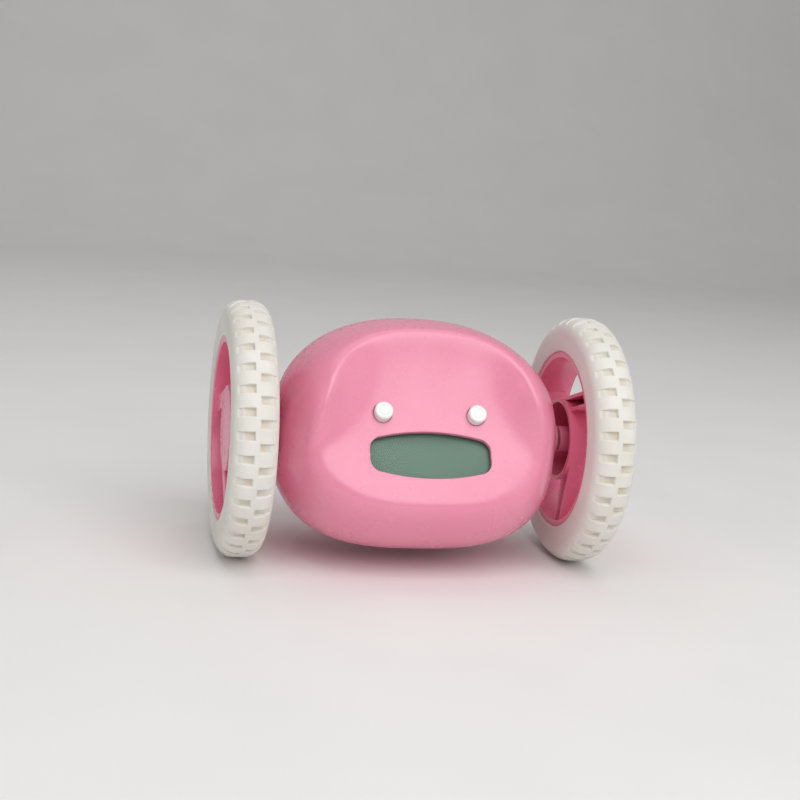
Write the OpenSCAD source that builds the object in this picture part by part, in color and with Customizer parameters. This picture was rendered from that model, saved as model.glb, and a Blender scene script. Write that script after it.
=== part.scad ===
// Runaway alarm clock: a rounded casing with a scooped face hangs between two big
// wheels, each driven by its own motor and gear train. Millimetres, +Z up, +X along
// the axle, the face toward -Y, the origin on the floor under the middle of the axle.

/* [Casing] */
// Half the width of the casing, from the middle to its side
case_half_width = 50.3; // [50:0.1:51.5]
// Half the depth of the casing, from the axle to its back
case_half_depth = 42; // [41.5:0.5:43]
// Height of the casing above the axle
case_up = 40.5; // [40:0.5:41.5]
// Depth of the casing below the axle
case_down = 39; // [38.5:0.5:40]
// Roundness of the upper half seen from the front, 2 is an ellipse
power_up = 2.3; // [2.2:0.05:2.4]
// Roundness of the lower half seen from the front
power_down = 2.9; // [2.8:0.05:3.1]
// Roundness seen from the side
power_depth = 2.5; // [2.4:0.05:2.6]
// Thickness of the casing wall
wall = 2; // [1.8:0.1:2.1]
// Where the two shells meet, behind the axle
seam = 8; // [7.8:0.1:8.2]

/* [Face] */
// Radius of the hollow of the face, seen from the side
face_radius = 92.7; // [91:0.1:95]
// How far in front of the axle the centre of that hollow lies
face_forward = 104.7; // [104:0.1:106]
// How far above the axle the centre of that hollow lies
face_up = 52.4; // [51.5:0.1:53]
// How far the upper face curls forward toward its sides
face_curl = 8; // [7:0.5:9]
// Distance from the middle at which the face curls forward that far
curl_reach = 33; // [32:0.5:34]
// Softness of the ridge around the face
face_blend = 4.5; // [4:0.5:5]
// Lean of the display and of the buttons back from the vertical, in degrees
face_lean = 34; // [33:0.5:35]
// Height of the display's reference plane against the axle
display_height = -1.5; // [-2:0.1:-1]
// Half the width of the display opening
display_half_width = 21.2; // [20:0.1:22]
// Half the height of the display opening at its ends
display_half_height = 5.3; // [5:0.1:5.8]
// How far the long edges of the opening bow outward
display_bow = 3.1; // [2.5:0.1:3.5]
// Corner radius of the display opening
display_corner = 3.2; // [2.5:0.1:3.8]
// Height of the middle of the opening along the face
display_rise = 1.2; // [0.9:0.1:1.5]
// Distance of each eye button from the middle
eye_x = 16.5; // [16:0.1:17.5]
// Height of the eye buttons above the axle
eye_height = 12.1; // [11.5:0.1:12.6]
// Radius of an eye button
eye_radius = 3.2; // [2.9:0.1:3.5]
// How far an eye button stands out of the face
eye_rise = 2.6; // [2.2:0.1:3.2]
// How far an eye button can be pressed
eye_travel = 0.8; // [0.6:0.1:1]

/* [Wheels] */
// Radius of the tyre
tyre_radius = 44.5; // [43.5:0.1:45.5]
// Width of the tyre
tyre_width = 15; // [14.5:0.1:15.5]
// Gap between the side of the casing and the wheel
wheel_gap = 3.7; // [3.5:0.1:4.2]
// Radius where the side of the tyre turns into its crown
shoulder_radius = 38.5; // [38:0.1:39]
// Half the width of the flat middle of the crowned tread
tread_half_width = 1.8; // [1.5:0.1:2.1]
// Number of tread slots in each of the two rows
slot_count = 36; // [30:2:40]
// Width of a tread slot along the circumference
slot_width = 2.8; // [2.4:0.1:3.2]
// Depth of a tread slot
slot_depth = 1.5; // [1.2:0.1:1.8]
// Width of the unbroken rib between the two rows of slots
centre_rib = 1.7; // [1.5:0.1:2.2]
// Outer radius of the flanges of the rim
flange_radius = 32; // [31.6:0.1:32.4]
// Outer radius of the barrel of the rim
barrel_radius = 31; // [30.6:0.1:31.2]
// Thickness of the barrel of the rim
barrel_wall = 1.2; // [1:0.1:1.4]
// Outer radius of the ring around the hub
hub_ring_radius = 15; // [14:0.1:16]
// Number of spokes
spoke_count = 3; // [3:1:4]
// Turn of the side of the hub that the first spoke runs off, from straight ahead, in degrees
spoke_turn = 109; // [105:1:113]
// Half the distance between the two ribs of a spoke
rib_half_gap = 2.3; // [2.2:0.1:2.6]
// Thickness of a spoke rib
rib_wall = 1.4; // [1.2:0.1:1.6]
// Radius of the axle
axle_radius = 1.5; // [1.4:0.05:1.6]

/* [Drive] */
// Tooth size of the gears: pitch diameter over tooth count
gear_module = 0.5; // [0.49:0.01:0.51]
// Teeth of each small gear
small_teeth = 10; // [10:1:11]
// Teeth of each large gear
large_teeth = 40; // [39:1:40]
// Distance of the motor from the axle, front to back
motor_forward = 15; // [14.6:0.1:15.1]
// Distance of the motor below the axle
motor_drop = 17; // [16.9:0.1:17.4]
// Radius of the motor
motor_radius = 10; // [9.5:0.1:10]
// Length of the motor
motor_length = 24.5; // [23:0.1:25]

/* [Battery bay] */
// Radius of a battery
battery_radius = 5.25; // [5:0.05:5.25]
// Length of a battery with its tip
battery_length = 44.5; // [44:0.1:44.6]
// Distance between neighbouring batteries
battery_pitch = 11; // [10.8:0.1:11.1]
// Distance of the first pair of batteries in front of the casing's back
battery_inset = 34.4; // [34:0.1:34.6]
// Drop below the axle of the upper pair of batteries
battery_drop = 12.5; // [12.4:0.1:12.6]

/* [Rear controls] */
// Radius of a setting button
set_radius = 2.2; // [2:0.1:2.4]
// Distance between the setting buttons
set_pitch = 8; // [7.5:0.1:8.5]
// How far a setting button can be pressed
set_travel = 0.6; // [0.4:0.1:0.8]
// Height of the rear controls above the axle
panel_height = 10; // [9.5:0.1:10.5]
// Depth of the floor of the rear recess under the casing's back
panel_sink = 5.5; // [5.2:0.1:5.8]
// How far the alarm switch slides
switch_travel = 3; // [2:0.1:3]

/* [Hidden] */
$fn = 64;

axle_height = tyre_radius;
tiny = 0.05;

// ---- the surface of the casing
function signed_power(v, e) = (v < 0 ? -1 : 1)*pow(abs(v), e);
function smooth(t) = let(q = min(1, max(0, t))) q*q*(3 - 2*q);
function hollow(z) = face_forward - sqrt(max(0, face_radius*face_radius - pow(z - face_up, 2)));
function face_at(x, z) = hollow(z) + face_curl*smooth((z + 5)/31)*pow(x/curl_reach, 4);
function soft_min(p, q, k) = (p + q - sqrt((p - q)*(p - q) + k*k))/2;
function front_at(x, z, f, inset) = soft_min(f, face_at(x, z) - 1.22*inset, face_blend);
function outline_point(u, inset) = let(p = sin(u) < 0 ? power_down : power_up)
    [(case_half_width - inset)*signed_power(cos(u), 2/p),
     ((sin(u) < 0 ? case_down : case_up) - inset)*signed_power(sin(u), 2/p)];
function ring_scale(y, inset) = pow(1 - pow(abs(y)/(case_half_depth - inset), power_depth), 1/power_depth);
function ring_at(y, inset, n) = let(s = ring_scale(y, inset))
    [for (i = [0:n - 1]) let(p = outline_point(360*i/n, inset)*s)
        [p[0], y < 0 ? -front_at(p[0], p[1], -y, inset) : y, p[1]]];
function depth_at(angle, inset) = (case_half_depth - inset)*pow(sin(angle), 2/power_depth);

// a closed body through a list of rings, ending in a tip
module loft(rings, tip, forward) {
    n = len(rings[0]);
    k = len(rings);
    walls = [for (j = [0:k - 2]) for (i = [0:n - 1])
        let(a = j*n + i, b = j*n + (i + 1)%n, c = (j + 1)*n + (i + 1)%n, d = (j + 1)*n + i)
        each (i < n/4 || i >= 3*n/4) ? [[a, d, b], [b, d, c]] : [[a, d, c], [a, c, b]]];
    last = [for (i = [0:n - 1]) [(k - 1)*n + i, k*n, (k - 1)*n + (i + 1)%n]];
    first = [[for (i = [0:n - 1]) i]];
    faces = concat(walls, last, first);
    turned = [for (f = faces) [for (i = [len(f) - 1:-1:0]) f[i]]];
    polyhedron(points = concat([for (r = rings) each r], [tip]),
        faces = forward ? faces : turned, convexity = 6);
}
// the casing in front of the plane y = cut
module front_solid(inset, cut, n, step) {
    rings = concat([ring_at(cut, inset, n), ring_at(0, inset, n)],
        [for (angle = [step:step:90 - step/2]) ring_at(-depth_at(angle, inset), inset, n)]);
    loft(rings, [0, -front_at(0, 0, case_half_depth - inset, inset), 0], true);
}
// the casing behind the plane y = cut
module rear_solid(inset, cut, n, step) {
    rings = concat([ring_at(cut, inset, n)],
        [for (angle = [3*step:step:90 - step/2]) ring_at(depth_at(angle, inset), inset, n)]);
    loft(rings, [0, case_half_depth - inset, 0], false);
}
function flat_ring(y, inset, n) = let(s = ring_scale(y, inset))
    [for (i = [0:n - 1]) outline_point(360*i/n, inset)*s];

// ---- placing
// x to the right along the face, y up along it, z out of it
module at_face() {
    translate([0, -hollow(display_height), display_height])
    rotate([90 - face_lean, 0, 0])
    children();
}
eye_forward = face_at(eye_x, eye_height);
module at_eye(side) {
    translate([side*eye_x, -eye_forward, eye_height])
    rotate([90 - face_lean, 0, 0])
    children();
}
// z pointing backward out of the rear, x to the left seen from behind
module at_rear(x, y, z) {
    translate([x, y, z])
    rotate([-90, 0, 0])
    children();
}
// z pointing to the right along the axle
module along_x(x, y, z) {
    translate([x, y, z])
    rotate([0, 90, 0])
    children();
}
module both_sides() {
    children();
    mirror([1, 0, 0]) children();
}
module lifted() {
    translate([0, 0, axle_height]) children();
}

// ---- the display opening: a rounded rectangle whose long edges bow outward
function bowed(p, g) = let(w = display_half_width + g, h = display_half_height + g)
    [p[0], p[1] + display_bow*(1 - pow(p[0]/w, 2))*p[1]/h];
function corner_points(sx, sy, from, g) = let(r = display_corner + g)
    [for (i = [0:6]) let(q = from + 15*i)
        bowed([sx*(display_half_width - display_corner) + r*cos(q),
            sy*(display_half_height - display_corner) + r*sin(q)], g)];
function edge_points(from, to, y, g) = [for (i = [1:9]) bowed([from + (to - from)*i/10, y], g)];
function opening_outline(g) = let(e = display_half_width - display_corner, h = display_half_height + g)
    concat(corner_points(1, 1, 0, g), edge_points(e, -e, h, g), corner_points(-1, 1, 90, g),
        corner_points(-1, -1, 180, g), edge_points(-e, e, -h, g), corner_points(1, -1, 270, g));
module opening_prism(g, from, to) {
    translate([0, display_rise, from])
    linear_extrude(to - from)
    polygon(opening_outline(g));
}
module rounded_plate(w, h, t, r) {
    linear_extrude(t)
    union() {
        square([w - 2*r, h], center = true);
        square([w, h - 2*r], center = true);
        for (sx = [-1, 1]) for (sy = [-1, 1])
            translate([sx*(w/2 - r), sy*(h/2 - r)]) circle(r);
    }
}

// ---- shared positions
seat = -1.6;                               // floor of the window seat below the face plane
window_thickness = 1;
glass_thickness = 2;
glass_height = 2*(display_half_height + display_bow) + 1;
board_front = -8.6;                        // front of the main board below the face plane
board_thickness = 1.4;
board_hole_x = 27.4;
board_low = -8.6;
board_high = 21.6;
stem_radius = 2.2;
post_up = [34, 22];
post_down = [32, -27];
post_radius = 3.4;
screw_seat = 12;
head_radius = 2.2;
door_half_width = 27.5;
door_top = -5.6;
door_bottom = -31;
door_gap = 0.25;
battery_back = case_half_depth - battery_inset;   // the rear pieces keep their distance from the back
panel_back = case_half_depth - panel_sink;
ear_floor = case_half_depth - 2.5;           // seat of the door's ear, and the ground its screw bites into
ear_ground = case_half_depth - 9;
screw_tip = case_half_depth - 8.6;
beyond = case_half_depth + 8;              // behind everything, for cuts that pass right through
ear_radius = 4;
lip_clear = 0.3;
ear_height = -4.6;
panel_half_width = 20;
panel_half_height = 6;
plate_in = case_half_width - 20.2;         // inner face of the inner gear plate
plate_wall = 1.4;
cover_in = plate_in + 11.6;                // inner face of the gear cover
idler_face = plate_in + 2.2;
idler_width = 2.6;
pinion_width = 4.2;
gear_face = plate_in + 6.4;
gear_width = 3;
small_pitch = gear_module*small_teeth/2;
large_pitch = gear_module*large_teeth/2;
gear_distance = small_pitch + large_pitch;
motor_span = sqrt(pow(motor_forward, 2) + pow(motor_drop, 2));
// the idler sits one gear distance from both the axle and the motor, on the inner side
idler_off = sqrt(pow(gear_distance, 2) - pow(motor_span/2, 2));
idler_y = -motor_forward/2 + idler_off*motor_drop/motor_span;
idler_z = -motor_drop/2 - idler_off*motor_forward/motor_span;
bush_radius = 3;
boss_radius = 5.5;
boss_end = case_half_width + 2.9;
wheel_in = case_half_width + wheel_gap;
wheel_out = wheel_in + tyre_width;
running = 0.05;
speaker_y = -3;
speaker_ring = 10.8;
speaker_top = -(case_down - wall) + 5.6;
pillars = [[10.5, -11.5], [-13.5, -3], [3, 12.6]];

// ================================================================ casing
module front_shell() {
    color("hotpink") lifted()
    difference() {
        union() {
            difference() {
                front_solid(0, seam, 72, 3.75);
                front_solid(wall, seam + 1, 40, 7.5);
            }
            intersection() {
                front_solid(wall/2, seam, 40, 7.5);
                union() {
                    for (side = [-1, 1]) {
                        // posts the long screws bite into
                        at_rear(side*post_up[0], -30, post_up[1]) cylinder(h = seam + 30, r = post_radius);
                        at_rear(side*post_down[0], -3, post_down[1]) cylinder(h = seam + 3, r = post_radius);
                        translate([side*post_down[0] - 1, -3, post_down[1] - 12]) cube([2, seam + 3, 10]);
                        // collars the eye buttons slide in
                        at_eye(side) translate([0, 0, -5]) cylinder(h = 5, r = eye_radius + 1.4);
                        // seats of the side bushes
                        along_x(side > 0 ? cover_in + plate_wall : -case_half_width, 0, 0)
                            cylinder(h = case_half_width - cover_in - plate_wall, r = boss_radius);
                        // posts the main board is screwed to, and pegs for its lower edge
                        for (y = [board_low, board_high]) at_face()
                            translate([side*board_hole_x, y, board_front]) cylinder(h = 20, r = 2.4);
                        at_face() translate([side*board_hole_x, board_low, board_front - board_thickness])
                            cylinder(h = 3, r = 1);
                        // ribs the battery bay rests on
                        translate([side*20 - 1, seam - 6, -case_down]) cube([2, 6, case_down + bay_bottom - 1]);
                    }
                    // ring that holds the speaker
                    translate([0, speaker_y, speaker_top - 6]) cylinder(h = 5, r = speaker_ring);
                }
            }
            both_sides() along_x(case_half_width - 3, 0, 0)
                cylinder(h = boss_end - case_half_width + 3, r = boss_radius);
        }
        at_face() opening_prism(0, -10, 20);
        at_face() opening_prism(1.5, -10, seat);
        for (side = [-1, 1]) {
            at_eye(side) translate([0, 0, -30]) cylinder(h = 60, r = eye_radius + 0.15);
            at_face() translate([side*board_hole_x, board_high, board_front - 1]) cylinder(h = 6, r = 0.9);
            at_rear(side*post_up[0], -8, post_up[1]) cylinder(h = 20, r = 1);
            at_rear(side*post_down[0], -1.5, post_down[1]) cylinder(h = 20, r = 1);
            along_x(side*80 - 40, 0, 0) cylinder(h = 80, r = bush_radius);
        }
        translate([0, speaker_y, speaker_top - 5]) cylinder(h = 12, r = 9.6);
        for (i = [0:5]) translate([5.4*cos(60*i), speaker_y + 5.4*sin(60*i), -60]) cylinder(h = 40, r = 0.8);
        translate([0, speaker_y, -60]) cylinder(h = 40, r = 0.8);
    }
}
module door_outline(g) {
    w = door_half_width - g;
    translate([0, (door_top + door_bottom)/2])
    union() {
        square([2*w - 6, door_top - door_bottom - 2*g], center = true);
        square([2*w, door_top - door_bottom - 2*g - 6], center = true);
        for (sx = [-1, 1]) for (sz = [-1, 1])
            translate([sx*(w - 3), sz*((door_top - door_bottom)/2 - g - 3)]) circle(3);
    }
    translate([0, ear_height]) circle(ear_radius - g);
}
module rear_prism(from, to) {
    translate([0, to, 0]) rotate([90, 0, 0]) linear_extrude(to - from) children();
}
// where the lip gives way to the speaker's ring, the posts and the ribs of the front shell
module lip_gaps() {
    ring_half = sqrt(max(0, pow(speaker_ring, 2) - pow(seam - 1.6 - speaker_y, 2))) + lip_clear;
    translate([-ring_half, -case_down]) square([2*ring_half, 8]);
    for (side = [-1, 1]) {
        for (p = [post_up, post_down]) translate([side*p[0], p[1]]) circle(post_radius + lip_clear);
        translate([side*post_down[0] - 1 - lip_clear, -case_down])
            square([2 + 2*lip_clear, case_down + post_down[1]]);
        translate([side*20 - 1 - lip_clear, -case_down])
            square([2 + 2*lip_clear, case_down + bay_bottom - 1 + lip_clear]);
    }
}
module rear_shell() {
    color("hotpink") lifted()
    difference() {
        union() {
            difference() {
                rear_solid(0, seam, 72, 5);
                rear_solid(wall, seam - 1, 40, 7.5);
            }
            // lip that enters the front shell
            rear_prism(seam - 1.6, seam + 1.6) difference() {
                polygon(flat_ring(seam, wall + 0.2, 40));
                polygon(flat_ring(seam, wall + 1.5, 40));
                lip_gaps();
            }
            intersection() {
                rear_solid(wall/2, seam, 40, 7.5);
                union() {
                    for (side = [-1, 1]) {
                        at_rear(side*post_up[0], seam, post_up[1]) cylinder(h = 30, r = post_radius);
                        at_rear(side*post_down[0], seam, post_down[1]) cylinder(h = 30, r = post_radius);
                    }
                    // backing of the recess for the controls, and of the ear of the door
                    at_rear(0, panel_back - 1.6, panel_height)
                        rounded_plate(2*panel_half_width + 3, 2*panel_half_height + 3, 12, 3);
                    at_rear(0, ear_ground - 1, ear_height) cylinder(h = 10, r = ear_radius + 1.2);
                    // posts the rear board rests on
                    for (sx = [-1, 1]) for (sz = [-1, 1])
                        at_rear(17*sx, rear_board_back, panel_height + 5.4*sz)
                            cylinder(h = panel_back - 1 - rear_board_back, r = 1.6);
                }
            }
        }
        for (side = [-1, 1]) for (p = [post_up, post_down]) {
            at_rear(side*p[0], seam - 1, p[1]) cylinder(h = 20, r = 1.25);
            at_rear(side*p[0], screw_seat, p[1]) cylinder(h = 40, r = head_radius + 0.3);
        }
        at_rear(0, panel_back, panel_height)
            rounded_plate(2*panel_half_width, 2*panel_half_height, 12, 2.5);
        for (i = [0:2]) at_rear(set_x(i), 20, panel_height) cylinder(h = 30, r = set_radius + 0.15);
        translate([knob_x - 1.2, 20, panel_height - 1.1]) cube([2.4 + switch_travel, 30, 2.2]);
        difference() {
            rear_prism(seam + 2, beyond) door_outline(0);
            rear_prism(0, ear_floor) translate([0, ear_height + 2]) square([12, 7.2], center = true);
        }
        at_rear(0, ear_ground, ear_height) cylinder(h = 10, r = 0.95);
    }
}
function set_x(i) = -set_pitch*(1.5 - i) + 0.5;
knob_x = 12.5;

module shell_screws() {
    color("silver") lifted()
    for (side = [-1, 1]) for (p = [post_up, post_down]) {
        at_rear(side*p[0], -1, p[1]) cylinder(h = screw_seat + 1, r = 1);
        at_rear(side*p[0], screw_seat, p[1]) difference() {
            cylinder(h = 1.5, r = head_radius);
            for (turn = [0, 90]) rotate(turn) translate([-1.2, -0.25, 0.8]) cube([2.4, 0.5, 2]);
        }
    }
}

// ================================================================ display and board
module display_window() {
    color("white", 0.3) lifted() at_face()
    opening_prism(1.35, seat - window_thickness, seat - 0.03);
}
module display_glass() {
    color("darkseagreen") lifted() at_face()
    translate([0, display_rise, seat - window_thickness - 0.05 - glass_thickness])
    rounded_plate(2*display_half_width + 3, glass_height, glass_thickness, 0.6);
}
module display_frame() {
    back = seat - window_thickness - 0.05;
    color("dimgray") lifted() at_face()
    translate([0, display_rise, board_front])
    difference() {
        union() {
            rounded_plate(2*display_half_width + 6, glass_height + 1.4, back - board_front - glass_thickness - 0.05, 1);
            rounded_plate(2*display_half_width + 6, glass_height + 1.4, back - board_front, 1);
        }
        translate([0, 0, back - board_front - glass_thickness - 0.05])
            rounded_plate(2*display_half_width + 3.2, glass_height + 0.2, 10, 0.7);
        translate([0, 0, -1]) rounded_plate(2*display_half_width + 0.6, 15, 20, 1);
    }
}
module display_strip() {
    color("pink") lifted() at_face()
    translate([-17, display_rise - 6.9, board_front])
    cube([34, 1.6, seat - window_thickness - 0.05 - glass_thickness - board_front]);
}
module main_board() {
    color("darkgreen") lifted() at_face()
    difference() {
        translate([0, (board_low + board_high)/2, board_front - board_thickness])
            rounded_plate(2*board_hole_x + 5, board_high - board_low + 4.8, board_thickness, 1.5);
        for (sx = [-1, 1]) for (sy = [board_low, board_high])
            translate([sx*board_hole_x, sy, board_front - 5]) cylinder(h = 10, r = 1.1);
    }
}
module board_parts() {
    color("black") lifted() at_face()
    translate([0, 0, board_front - board_thickness]) {
        translate([-12, 14, -1.4]) cylinder(h = 1.4, r = 4.2);
        translate([2, 12, -2.2]) cube([7.6, 4.4, 2.2]);
        translate([13, 16.5, -5.6]) cylinder(h = 5.6, r = 2);
        translate([-23, 8, -1]) cube([3.2, 1.6, 1]);
        translate([-23, 12, -1]) cube([3.2, 1.6, 1]);
        translate([19, 8, -1]) cube([3.2, 1.6, 1]);
    }
}
// in the frame of the face: where the axis of an eye button meets the board
eye_along = (eye_height - display_height)*cos(face_lean) - (eye_forward - hollow(display_height))*sin(face_lean);
eye_out = (eye_height - display_height)*sin(face_lean) + (eye_forward - hollow(display_height))*cos(face_lean);
switch_rise = 1.8;
module eye_switches() {
    color("gray") lifted() at_face()
    for (side = [-1, 1]) translate([side*eye_x, eye_along, board_front]) {
        translate([-2.2, -2.2, 0]) cube([4.4, 4.4, switch_rise]);
        cylinder(h = switch_rise + 0.7, r = 1.7);
    }
}
module board_screws() {
    color("silver") lifted() at_face()
    for (sx = [-1, 1])
        translate([sx*board_hole_x, board_high, board_front - board_thickness]) {
            cylinder(h = 5, r = 0.9);
            translate([0, 0, -1.2]) cylinder(h = 1.2, r = 2);
        }
}
module eye_button(side) {
    inner = board_front + switch_rise + 0.7 + eye_travel + 0.06 - eye_out;
    color("white") lifted() at_eye(side) {
        rotate_extrude() polygon([[0, -3.4], [eye_radius, -3.4], [eye_radius, eye_rise - 0.6],
            [eye_radius - 0.2, eye_rise - 0.2], [eye_radius - 0.7, eye_rise], [0, eye_rise + 0.15]]);
        translate([0, 0, inner]) cylinder(h = -3.4 - inner, r = stem_radius);
        translate([-eye_radius - 1, -1.2, inner]) cube([2*eye_radius + 2, 2.4, -5.2 - inner]);
    }
}
module left_eye_button() { eye_button(-1); }
module right_eye_button() { eye_button(1); }

module speaker() {
    color("dimgray") lifted() translate([0, speaker_y, speaker_top])
    difference() {
        union() {
            translate([0, 0, -4]) cylinder(h = 4, r = 9.5);
            cylinder(h = 1.2, r = 5);
        }
        translate([0, 0, -5]) cylinder(h = 2, r = 8);
    }
}

// ================================================================ battery bay and rear controls
bay_half = battery_length/2 + 4.2;
bay_front = battery_back - battery_radius - 1.2;
bay_back = battery_back + 14.9;
bay_top = -battery_drop + battery_radius + 0.2;
bay_bottom = -battery_drop - battery_pitch - battery_radius - 0.2;
module battery_bay() {
    color("dimgray") lifted()
    difference() {
        translate([-bay_half, bay_front, bay_bottom - 1])
            cube([2*bay_half, bay_back - bay_front, bay_top - bay_bottom + 2]);
        translate([1.2 - bay_half, bay_front + 1, bay_bottom])
            cube([2*bay_half - 2.4, 40, bay_top - bay_bottom]);
    }
}
function cell(i) = [battery_back + battery_pitch*(i%2), -battery_drop - battery_pitch*floor(i/2)];
function cell_side(i) = (i == 0 || i == 3) ? 1 : -1;
module battery(i) {
    c = cell(i);
    color("darkorange") lifted() translate([0, c[0], c[1]]) rotate([0, 0, cell_side(i) > 0 ? 0 : 180])
    along_x(-battery_length/2, 0, 0) {
        cylinder(h = battery_length - 1.2, r = battery_radius);
        cylinder(h = battery_length, r = 1.9);
    }
}
module battery_1() { battery(0); }
module battery_2() { battery(1); }
module battery_3() { battery(2); }
module battery_4() { battery(3); }
// one contact at the end of a cell: a plate on the bay wall with a raised part in its middle
module contact(i, end, r_wall, r_tip) {
    c = cell(i);
    gap = bay_half - 1.2 - battery_length/2;
    translate([0, c[0], c[1]]) mirror([end > 0 ? 0 : 1, 0, 0]) along_x(battery_length/2 + 0.04, 0, 0) {
        cylinder(h = gap - 0.4, r1 = r_tip, r2 = r_wall);
        translate([-4.2, -4.2, gap - 0.5]) cube([8.4, 8.4, 0.44]);
    }
}
module contact_plates() {
    color("silver") lifted()
    for (i = [0:3]) contact(i, cell_side(i), 2.4, 1.6);
}
module contact_springs() {
    color("silver") lifted()
    for (i = [0:3]) contact(i, -cell_side(i), 3.8, 2.2);
}
module battery_door() {
    color("hotpink") lifted()
    difference() {
        intersection() {
            rear_solid(0, seam, 72, 5);
            rear_prism(seam + 2, beyond) door_outline(door_gap);
        }
        rear_solid(wall, seam - 1, 40, 7.5);
        at_rear(0, ear_ground - 3, ear_height) cylinder(h = 20, r = 1.15);
        at_rear(0, case_half_depth - 1.2, ear_height) cylinder(h = 5, r = 2.2);
        // finger notch near the lower edge
        along_x(-6, case_half_depth - 4.4, door_bottom + 6) translate([0, 6.2, 0]) cylinder(h = 12, r = 4);
    }
}
module door_screw() {
    color("silver") lifted() at_rear(0, screw_tip, ear_height)
    difference() {
        union() {
            cylinder(h = case_half_depth - 1.15 - screw_tip, r = 0.92);
            translate([0, 0, case_half_depth - 1.15 - screw_tip]) cylinder(h = 1, r = 2);
        }
        for (turn = [0, 90]) rotate(turn)
            translate([-1.1, -0.22, case_half_depth - 0.75 - screw_tip]) cube([2.2, 0.44, 2]);
    }
}
rear_board_back = panel_back - 8.5;
rear_rise = 3.6;
set_start = panel_back - 1.6 - 0.2 - 1.2;    // inner end of a setting button, its collar 0.2 below the wall
module rear_board() {
    color("darkgreen") lifted()
    at_rear(0, rear_board_back - 1.4, panel_height) rounded_plate(44, 15, 1.4, 1);
}
module rear_switches() {
    color("gray") lifted() {
        for (i = [0:2]) at_rear(set_x(i), rear_board_back, panel_height) {
            translate([-2.6, -2.6, 0]) cube([5.2, 5.2, rear_rise]);
            cylinder(h = set_start - set_travel - 0.06 - rear_board_back, r = 1.4);
        }
        translate([knob_x - 3.6, rear_board_back, panel_height - 2.6]) cube([7.2 + switch_travel, 3.2, 5.2]);
    }
}
module set_button(i) {
    color("white") lifted() at_rear(set_x(i), set_start, panel_height) {
        cylinder(h = panel_back + 1.4 - set_start, r = set_radius);
        cylinder(h = 1.2, r = set_radius + 0.8);
    }
}
module set_button_1() { set_button(0); }
module set_button_2() { set_button(1); }
module set_button_3() { set_button(2); }
module alarm_knob() {
    from = rear_board_back + 3.3;
    color("white") lifted() {
        translate([knob_x - 1, from, panel_height - 0.95]) cube([2, panel_back - from + 0.4, 1.9]);
        translate([knob_x - 1.7, panel_back + 0.15, panel_height - 2]) cube([3.4, 1.5, 4]);
        for (dx = [-1, 0, 1])
            translate([knob_x + dx - 0.2, panel_back + 1.2, panel_height - 1.8]) cube([0.4, 0.75, 3.6]);
    }
}

// ================================================================ drive, the right side; the left is its mirror
function inv(a) = tan(a) - a*PI/180;
// half the angle of a tooth at radius r, in degrees
function half_tooth(r, n, shift) = let(rp = gear_module*n/2, rb = rp*cos(20),
    s = gear_module*(PI/2 + 2*shift*tan(20)) - 0.1, q = r > rb ? acos(rb/r) : 0)
    (s/(2*rp) + inv(20) - inv(q))*180/PI;
function tooth(n, shift, k, turn) = let(rp = gear_module*n/2, root = rp - gear_module*(1.25 - shift),
    tip = rp + gear_module*(1 + shift), c = turn + 360*k/n,
    radii = [root, rp + gear_module*(shift - 0.3), rp + gear_module*(shift + 0.4), tip])
    concat([for (r = radii) let(a = c - half_tooth(max(r, rp*cos(20)), n, shift)) [r*cos(a), r*sin(a)]],
        [for (i = [3:-1:0]) let(r = radii[i], a = c + half_tooth(max(r, rp*cos(20)), n, shift)) [r*cos(a), r*sin(a)]]);
module gear(n, shift, width, turn) {
    linear_extrude(width)
    polygon([for (k = [0:n - 1]) each tooth(n, shift, k, turn)]);
}
// in the frame of along_x the first axis points down and the second one back
function aim(from, to) = atan2(to[0] - from[0], -(to[1] - from[1]));
axle_at = [0, 0];
idler_at = [idler_y, idler_z];
motor_at = [-motor_forward, -motor_drop];
aim_axle = aim(idler_at, axle_at);
aim_idler = aim(motor_at, idler_at);
module motor() {
    color("silver") lifted() along_x(plate_in - 0.05 - motor_length, motor_at[0], motor_at[1])
    difference() {
        union() {
            cylinder(h = motor_length - 0.6, r = motor_radius);
            translate([0, 0, -1]) cylinder(h = 2, r = motor_radius - 3);
            cylinder(h = motor_length, r = 3.2);
            for (a = [90, 270]) rotate(a) translate([motor_radius - 3.4, -1, -2.4]) cube([0.5, 2, 3]);
        }
        translate([0, 0, motor_length - 8]) cylinder(h = 20, r = 1.05);
    }
}
module motor_shaft() {
    color("gray") lifted() along_x(plate_in - 7, motor_at[0], motor_at[1])
    cylinder(h = 7 + 6.6, r = 1);
}
module pinion() {
    color("white") lifted() along_x(plate_in + 1.9, motor_at[0], motor_at[1])
    difference() {
        gear(small_teeth, 0.4, pinion_width, aim_idler);
        translate([0, 0, -1]) cylinder(h = 20, r = 1);
    }
}
module idler_pin() {
    color("gray") lifted() along_x(plate_in + 0.3, idler_at[0], idler_at[1])
    cylinder(h = cover_in - plate_in + 0.8, r = 1);
}
module idler_gear() {
    color("white") lifted() along_x(idler_face, idler_at[0], idler_at[1])
    difference() {
        union() {
            gear(large_teeth, -0.4, idler_width, aim_idler + 180 + 180/large_teeth);
            translate([0, 0, idler_width - tiny]) gear(small_teeth, 0.4, 5.6 + tiny, aim_axle);
            translate([0, 0, -0.5]) cylinder(h = 1, r = 2);
        }
        translate([0, 0, -2]) cylinder(h = 20, r = 1 + running);
    }
}
module axle_gear() {
    color("white") lifted() along_x(gear_face, 0, 0)
    difference() {
        union() {
            gear(large_teeth, -0.4, gear_width, aim_axle + 180 + 180/large_teeth);
            translate([0, 0, -1.2]) cylinder(h = gear_width + 2.8, r = 3.2);
        }
        translate([0, 0, -2]) cylinder(h = 20, r = axle_radius);
    }
}
module plate_outline() {
    polygon([[-17, -25], [-7, -25], [14, -14], [14, -8], [6, 16], [-1, 16], [-18, 1], [-22, -16]]);
}
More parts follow.
